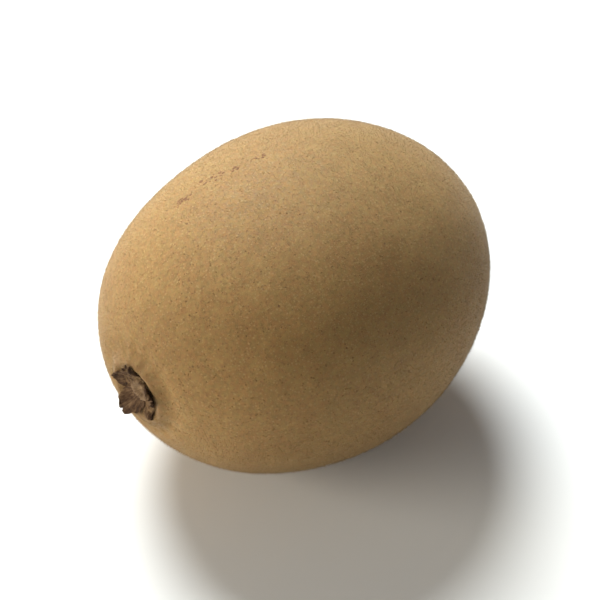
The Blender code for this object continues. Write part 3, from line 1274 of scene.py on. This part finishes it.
@dataclass
class Down:
    """One layer of short hairs over the whole skin, each a slim closed spike."""

    form: FruitForm
    seed: int
    count: int = 42000
    lengths: tuple[float, float] = (0.22 * MM, 0.5 * MM)
    end_lengths: tuple[float, float] = (0.5 * MM, 0.95 * MM)
    end_reach: float = 15 * MM
    root_radius: float = 0.018 * MM
    sink: float = 0.04 * MM
    leans: tuple[float, float] = (0.3, 1.1)
    scatter: float = 0.55
    floor_gap: float = 0.1 * MM

    def build(self, surface: Surface) -> bmesh.types.BMesh:
        """Set a small root triangle for each hair, then raise each into a spike that leans with the nap.

        Args:
            surface: The skin to grow on.

        Returns:
            The shape of all the hairs.
        """
        dice = random.Random(self.seed)
        poles = [self.form.pole(end) for end in End]
        shape = bmesh.new()
        tips = []
        for _ in range(self.count):
            place, normal = surface.draw(dice)
            nap = Vector((1, dice.gauss(0, self.scatter), dice.gauss(0, self.scatter)))
            nap = (nap - normal * nap.dot(normal)).normalized()
            side = normal.cross(nap)
            near_end = min((place - pole).length for pole in poles) / self.end_reach
            ends = max(1 - near_end, 0.0) ** 2
            length = dice.uniform(*self.lengths) * (1 - ends) + dice.uniform(*self.end_lengths) * ends
            tip = place + (normal + nap * dice.uniform(*self.leans)).normalized() * length
            if tip.z < self.floor_gap:
                continue
            corners = (nap, side - nap / 2, -side - nap / 2)
            root = place - normal * self.sink
            shape.faces.new([shape.verts.new(root + corner * self.root_radius) for corner in corners])
            tips.append(tip)
        roots = shape.faces[:]
        closed_below(shape, roots)
        for vertex, tip in zip(bmesh.ops.poke(shape, faces=roots)["verts"], tips):
            vertex.co = tip
        bmesh.ops.remove_doubles(shape, verts=shape.verts, dist=SAME_POINT)
        return shape


class Flakes:
    """Low closed flakes on the skin: each starts as a small face, and all are raised together."""

    SIDES = 7
    UNEVEN = 0.25
    STRETCHES = (0.75, 1.35)

    def __init__(self, dice: random.Random) -> None:
        """Start with no flakes.

        Args:
            dice: The seeded source of chance for their shapes.
        """
        self.dice = dice
        self.shape = bmesh.new()

    def add(self, place: Vector, normal: Vector, radius: float) -> None:
        """Lay one uneven flake's root flat on the skin.

        Args:
            place: Its middle.
            normal: The skin's normal there.
            radius: Its mean radius.
        """
        facing = normal.to_track_quat("Z", "Y").to_matrix()
        turning = Matrix.Rotation(self.dice.uniform(0, FULL_TURN), 3, "Z")
        stretch = self.dice.uniform(*self.STRETCHES)
        corners = []
        for side in range(self.SIDES):
            turn = side * FULL_TURN / self.SIDES
            out = radius * (1 + self.dice.uniform(-self.UNEVEN, self.UNEVEN))
            corner = Vector((out * stretch * math.cos(turn), out * math.sin(turn), 0))
            corners.append(self.shape.verts.new(place + facing @ (turning @ corner)))
        self.shape.faces.new(corners)

    def raised(self, rim: float, rise: float, crown: float) -> bmesh.types.BMesh:
        """Raise every flake.

        Args:
            rim: Width of the sloping rim.
            rise: Height of the rim's inner edge over the skin.
            crown: Height of the middle over that edge.

        Returns:
            The shape of all the flakes.
        """
        roots = self.shape.faces[:]
        closed_below(self.shape, roots)
        bmesh.ops.inset_individual(self.shape, faces=roots, thickness=rim, depth=rise)
        bmesh.ops.poke(self.shape, faces=roots, offset=crown)
        bmesh.ops.remove_doubles(self.shape, verts=self.shape.verts, dist=SAME_POINT)
        return self.shape


@dataclass
class Specks:
    """Low corky specks scattered over the skin."""

    count: int = 5200
    sizes: tuple[float, float] = (0.07 * MM, 0.16 * MM)
    rim: float = 0.035 * MM
    rise: float = 0.014 * MM
    crown: float = 0.006 * MM
    floor_gap: float = 0.4 * MM
    seed: int = 5

    def build(self, surface: Surface) -> bmesh.types.BMesh:
        """Set one speck at each place drawn from the skin.

        Args:
            surface: The skin to set them on.

        Returns:
            The shape of all the specks.
        """
        dice = random.Random(self.seed)
        flakes = Flakes(dice)
        for _ in range(self.count):
            place, normal = surface.draw(dice)
            if place.z > self.floor_gap:
                flakes.add(place, normal, dice.uniform(*self.sizes))
        return flakes.raised(self.rim, self.rise, self.crown)


@dataclass(frozen=True)
class Scuff:
    """One mark of a healed scuff: its place along the fruit and round it, its reach and its flakes."""

    along: float
    turn: float
    reach: float
    flakes: int


@dataclass
class ScuffRow:
    """The row of small reddish scabs that a rub left on the upper side of the fruit."""

    form: FruitForm
    marks: tuple[Scuff, ...] = (
        Scuff(0.424, 26.8, 0.45 * MM, 22),
        Scuff(0.297, 27.6, 0.25 * MM, 4),
        Scuff(0.260, 24.7, 0.35 * MM, 7),
        Scuff(0.226, 22.9, 0.30 * MM, 5),
        Scuff(0.176, 20.3, 0.40 * MM, 8),
        Scuff(0.075, 18.8, 0.25 * MM, 4),
        Scuff(0.037, 17.3, 0.35 * MM, 7),
    )
    sizes: tuple[float, float] = (0.13 * MM, 0.30 * MM)
    rim: float = 0.04 * MM
    rise: float = 0.02 * MM
    crown: float = 0.012 * MM
    lengthening: float = 1.6
    seed: int = 23

    def build(self, surface: Surface) -> bmesh.types.BMesh:
        """Scatter each mark's flakes about its place.

        Args:
            surface: The skin to set them on.

        Returns:
            The shape of all the flakes.
        """
        dice = random.Random(self.seed)
        flakes = Flakes(dice)
        for mark in self.marks:
            middle = self.form.at(math.acos(mark.along), math.radians(mark.turn))
            for _ in range(mark.flakes):
                shift = Vector((dice.gauss(0, self.lengthening), dice.gauss(0, 1), 0)) * mark.reach
                flakes.add(*surface.nearest(middle + shift), dice.uniform(*self.sizes))
        return flakes.raised(self.rim, self.rise, self.crown)


@dataclass(frozen=True)
class Lamp:
    """One soft round lamp that faces the fruit."""

    name: str
    place: Triple
    size: float
    power: float
    tint: Triple = (1.0, 1.0, 1.0)

    def hang(self, aim: Vector) -> None:
        """Hang the lamp so that it faces the aim.

        Args:
            aim: The point that it faces.
        """
        light = bpy.data.lights.new(self.name, "AREA")
        light.shape = "DISK"
        light.size = self.size
        light.energy = self.power
        light.color = self.tint
        lamp = bpy.data.objects.new(self.name, light)
        facing = (aim - Vector(self.place)).to_track_quat("-Z", "Y").to_matrix().to_4x4()
        lamp.matrix_world = Matrix.Translation(self.place) @ facing
        bpy.context.scene.collection.objects.link(lamp)


@dataclass
class Studio:
    """The floor, the backdrop round it, the lamps and the camera."""

    floor_size: float = 4.0
    backdrop_radius: float = 1.12
    backdrop_height: float = 0.15
    backdrop_steps: int = 96
    aim: Triple = (0.001, 0.0, 0.0245)
    azimuth: float = math.radians(-42)
    elevation: float = math.radians(46)
    distance: float = 0.51
    lens: float = 185.0
    clip_start: float = 0.01
    lamps: tuple[Lamp, ...] = (
        Lamp("window", (0.26, 0.65, 0.76), 0.6, 24.0, (0.95, 1.0, 1.0)),
        Lamp("side", (-0.84, 0.42, 0.28), 0.6, 8.5, (1.0, 0.94, 0.80)),
        Lamp("low", (-0.80, -0.45, 0.30), 0.6, 1.0, (1.0, 0.94, 0.84)),
    )
    sky_colour: Triple = (0.96, 0.97, 1.0)
    sky_strength: float = 0.14

    @staticmethod
    def stage(name: str, shape: bmesh.types.BMesh, finish: bpy.types.Material) -> None:
        """Put a part of the stage in the scene, which is no part of the fruit.

        Args:
            name: The part's name.
            shape: Its faces, in place; the shape is freed.
            finish: The material that it wears.
        """
        mesh = bpy.data.meshes.new(name)
        shape.to_mesh(mesh)
        shape.free()
        mesh.materials.append(finish)
        part = bpy.data.objects.new(name, mesh)
        bpy.context.scene.collection.objects.link(part)

    def floor(self) -> None:
        """Lay the floor."""
        shape = bmesh.new()
        bmesh.ops.create_grid(shape, x_segments=1, y_segments=1, size=self.floor_size / 2)
        self.stage("floor", shape, FloorFinish().material())

    def backdrop(self) -> None:
        """Stand the low backdrop round the floor."""
        shape = bmesh.new()
        bmesh.ops.create_circle(shape, segments=self.backdrop_steps, radius=self.backdrop_radius)
        rising = bmesh.ops.extrude_edge_only(shape, edges=shape.edges[:])["geom"]
        rim = [item for item in rising if isinstance(item, bmesh.types.BMVert)]
        bmesh.ops.translate(shape, verts=rim, vec=(0, 0, self.backdrop_height))
        self.stage("backdrop", settled(shape), BackdropFinish().material())

    def surround(self) -> None:
        """Light everything softly from all round."""
        world = bpy.data.worlds.new("surround")
        world.use_nodes = True
        sky = world.node_tree.nodes["Background"]
        sky.inputs["Color"].default_value = (*self.sky_colour, 1.0)
        sky.inputs["Strength"].default_value = self.sky_strength
        bpy.context.scene.world = world

    def camera(self) -> None:
        """Set the camera at the photograph's viewing angle."""
        data = bpy.data.cameras.new("camera")
        data.lens = self.lens
        data.clip_start = self.clip_start
        flat = math.cos(self.elevation)
        sideways = math.sin(self.azimuth) * flat
        forward = math.cos(self.azimuth) * flat
        back = Vector((sideways, -forward, math.sin(self.elevation)))
        camera = bpy.data.objects.new("camera", data)
        facing = back.to_track_quat("Z", "Y").to_matrix().to_4x4()
        camera.matrix_world = Matrix.Translation(Vector(self.aim) + back * self.distance) @ facing
        bpy.context.scene.collection.objects.link(camera)
        bpy.context.scene.camera = camera

    def build(self) -> None:
        """Set up the whole studio."""
        self.floor()
        self.backdrop()
        self.surround()
        for lamp in self.lamps:
            lamp.hang(Vector(self.aim))
        self.camera()
        bpy.context.scene.view_settings.view_transform = "Standard"


def main() -> None:
    """Build every piece in order, then the studio."""
    logging.basicConfig(level=logging.INFO, format="%(name)s %(message)s")
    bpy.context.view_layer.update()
    form = FruitForm()

    skin = make_piece("kiwi_skin", Skin(form).build(), SkinFinish().material(form))
    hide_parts(NODE)
    surface = Surface.of(skin)

    stem = form.pole(End.STEM)
    wood = DriedFinish(
        "stalk_wood",
        dark=(0.050, 0.026, 0.013),
        body=(0.165, 0.100, 0.052),
        light=(0.34, 0.23, 0.13),
        centre=stem,
    )
    make_piece("stalk_scar", StalkScar(form).build(), wood.material())
    papery = DriedFinish("dried_sepal", centre=stem)
    make_piece("dried_sepals", Calyx(form).build(), papery.material())
    black = DriedFinish("dried_style", dark=(0.014, 0.007, 0.004), body=(0.038, 0.018, 0.010))
    make_piece("dried_styles", StyleTuft(form).build(), black.material())

    down = DownFinish().material()
    for layer in range(DOWN_LAYERS):
        hairs = Down(form, seed=DOWN_SEED + layer).build(surface)
        make_piece(f"down_{layer + 1}", hairs, down)
    cork = DriedFinish(
        "corky_speck",
        dark=(0.125, 0.062, 0.022),
        body=(0.205, 0.116, 0.040),
        light=(0.30, 0.19, 0.080),
    )
    make_piece("corky_specks", Specks().build(surface), cork.material())
    scab = DriedFinish(
        "reddish_scab",
        dark=(0.112, 0.048, 0.023),
        body=(0.185, 0.088, 0.042),
        light=(0.265, 0.148, 0.073),
    )
    make_piece("scuffs", ScuffRow(form).build(surface), scab.material())

    Studio().build()


if __name__ == "__main__":
    main()
